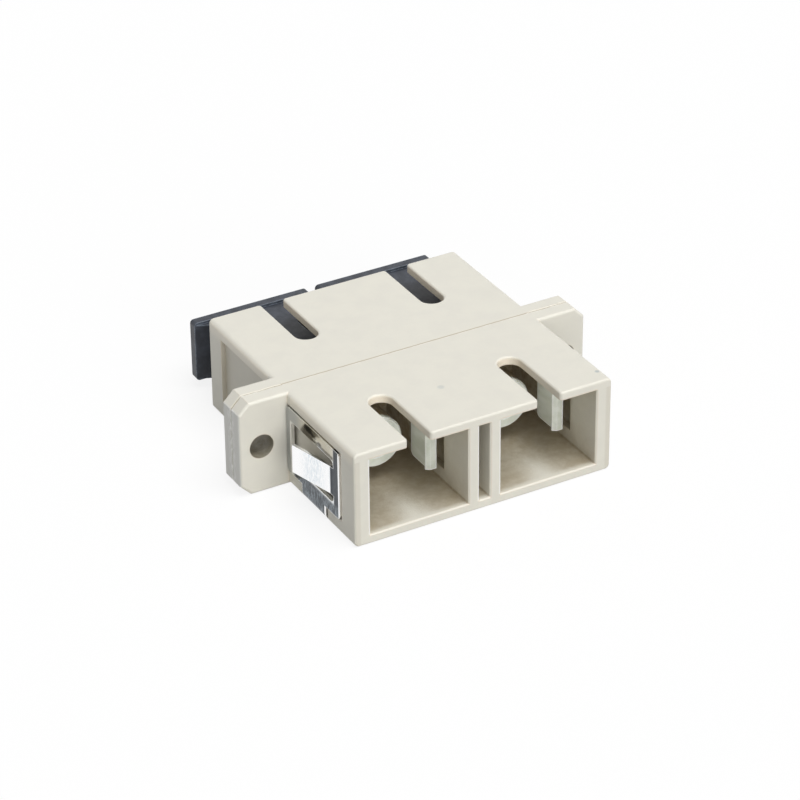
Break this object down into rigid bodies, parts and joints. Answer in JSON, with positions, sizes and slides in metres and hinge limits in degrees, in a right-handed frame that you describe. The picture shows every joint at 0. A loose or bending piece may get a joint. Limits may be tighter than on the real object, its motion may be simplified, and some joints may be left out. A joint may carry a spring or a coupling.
{
  "type": "fibre optic adapter",
  "caption": "Duplex fibre optic adapter: beige housing with panel flange, keyed square ports, latch hooks, folded steel clip and dust caps in the rear ports.",
  "frame": {"origin": "midway between the two flange holes, in the plane where the housing halves are welded together", "axes": "+X along the flange, +Y towards the capped ports, -Y towards the open ports, +Z towards the side with the keyways"},
  "size_m": [0.0344, 0.0313, 0.0092],
  "materials": {
    "housing": "moulded, satin beige",
    "latch": "moulded, translucent natural",
    "clip": "bright rolled stainless sheet",
    "sleeve": "ground white ceramic",
    "cap": "soft moulded, dark blue-grey"
  },
  "bodies": {
    "adapter": {"front_housing": "housing", "rear_housing": "housing", "spring_clip": "clip", "split_sleeve_left": "sleeve", "split_sleeve_right": "sleeve", "latch_front_left": "latch", "latch_front_right": "latch", "latch_rear_left": "latch", "latch_rear_right": "latch"},
    "cap_left": {"dust_cap_left": "cap"},
    "cap_right": {"dust_cap_right": "cap"}
  },
  "joints": [
    {"name": "cap_left_pull", "type": "slide", "parent": "adapter", "child": "cap_left", "axis": [0, 1, 0], "range_m": [0, 0.012]},
    {"name": "cap_right_pull", "type": "slide", "parent": "adapter", "child": "cap_right", "axis": [0, 1, 0], "range_m": [0, 0.012]}
  ]
}
